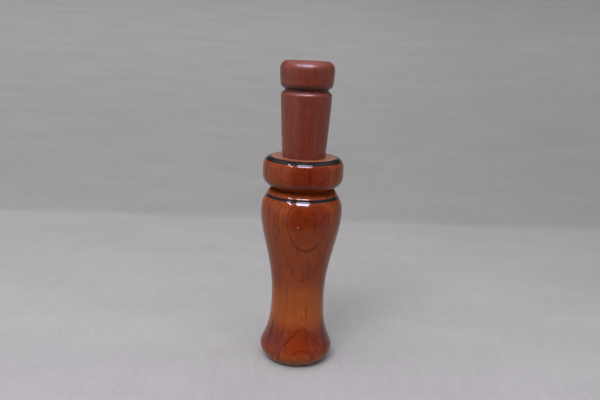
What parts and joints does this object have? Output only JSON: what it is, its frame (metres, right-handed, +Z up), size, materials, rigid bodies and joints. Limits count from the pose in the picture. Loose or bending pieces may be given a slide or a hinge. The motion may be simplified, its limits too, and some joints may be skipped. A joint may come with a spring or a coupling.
{
  "type": "grunt tube call",
  "caption": "Turned wooden game call: a waisted, lacquered barrel with a flared foot, lanyard groove and collar, and a dark pull-out stopper with a knob that holds the reed and tone board.",
  "frame": {"origin": "centre of the flat ring of the mouth lip, where the call stands", "axes": "+Z up the turning axis, from the barrel's mouth to the stopper's knob; -Y is the side that the reed faces"},
  "size_m": [0.0364, 0.0364, 0.1367],
  "materials": {
    "barrel_wood": "gloss lacquer over red-stained cedar",
    "stopper_wood": "satin oiled mahogany",
    "ring_rubber": "matte",
    "toneboard_plastic": "moulded, satin",
    "reed_film": "smooth film",
    "wedge_cork": "matte cork"
  },
  "bodies": {
    "barrel": {"barrel": "barrel_wood"},
    "tenon_rings": {"upper_tenon_ring": "ring_rubber", "lower_tenon_ring": "ring_rubber"},
    "stopper": {"stopper": "stopper_wood", "toneboard": "toneboard_plastic", "toneboard_seal": "ring_rubber", "reed_wedge": "wedge_cork"},
    "reed": {"reed": "reed_film"},
    "tuning_ring": {"tuning_ring": "ring_rubber"}
  },
  "joints": [
    {"name": "stopper_pull", "type": "slide", "parent": "barrel", "child": "tenon_rings", "axis": [0, 0, 1], "range_m": [0, 0.075]},
    {"name": "stopper_twist", "type": "hinge", "parent": "tenon_rings", "child": "stopper", "pos_m": [0, 0, 0.0956], "axis": [0, 0, 1], "continuous": true},
    {"name": "reed_flex", "type": "hinge", "parent": "stopper", "child": "reed", "pos_m": [0, -0.0008, 0.0658], "axis": [1, 0, 0], "range_deg": [-1, 1], "stiffness_Nm_per_rad": 0.01},
    {"name": "tuning_slide", "type": "slide", "parent": "stopper", "child": "tuning_ring", "axis": [0, 0, -1], "range_m": [-0.003, 0.009]}
  ]
}
